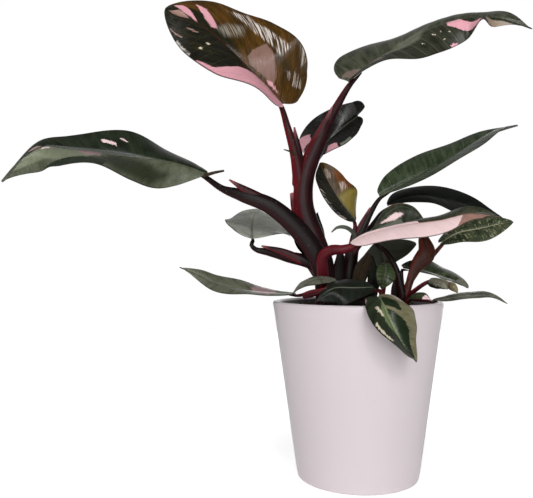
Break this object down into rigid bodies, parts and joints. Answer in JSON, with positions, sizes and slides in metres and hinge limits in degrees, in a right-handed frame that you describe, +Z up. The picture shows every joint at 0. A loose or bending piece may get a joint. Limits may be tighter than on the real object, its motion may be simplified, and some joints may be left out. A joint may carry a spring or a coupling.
{
  "type": "potted pink princess philodendron",
  "caption": "Houseplant with long glossy dark green leaves splashed with pink, on maroon stalks, in a plain tapered white glazed pot.",
  "frame": {"origin": "centre of the pot's flat foot, on the surface that it stands on", "axes": "+Z up, +X to the right of the front view, +Y away from the viewer"},
  "size_m": [0.4416, 0.17, 0.409],
  "materials": {
    "pot_glaze": "smooth satin glaze, white with a slight pink tint",
    "potting_mix": "matte dark peat and bark crumbs with a few pale grains",
    "maroon_stem": "smooth satin maroon skin with fine streaks",
    "dark_leaf": "waxy semi-gloss dark green with pink and cream flecks",
    "grey_green_leaf": "waxy satin grey-green with fine pale veins",
    "pink_leaf": "waxy satin pale pink beside dark green",
    "bronze_leaf": "waxy gloss bronze-brown with a pink band"
  },
  "bodies": {
    "root": {"pot": "pot_glaze", "potting_mix": "potting_mix", "stem_main": "maroon_stem", "stem_right": "maroon_stem", "stem_side": "maroon_stem", "stem_front": "maroon_stem", "leaf_crown_left": "bronze_leaf", "leaf_crown_right": "dark_leaf", "leaf_far_left": "dark_leaf", "leaf_upright_right": "dark_leaf", "leaf_dark_arched": "dark_leaf", "leaf_folded": "dark_leaf", "leaf_long_pink": "pink_leaf", "leaf_speckled": "dark_leaf", "leaf_dark_middle": "dark_leaf", "leaf_bronze_middle": "bronze_leaf", "leaf_low_left": "grey_green_leaf", "leaf_behind_stem": "dark_leaf", "leaf_under_pink": "dark_leaf", "leaf_rim_left": "grey_green_leaf", "leaf_grey_left": "grey_green_leaf", "leaf_rim_front": "dark_leaf", "leaf_over_rim": "dark_leaf", "leaf_crumpled": "dark_leaf", "leaf_cluster_green": "dark_leaf", "leaf_cluster_striped": "dark_leaf", "leaf_cluster_pale": "grey_green_leaf", "leaf_rim_right": "grey_green_leaf", "leaf_rim_small": "dark_leaf"}
  },
  "joints": []
}
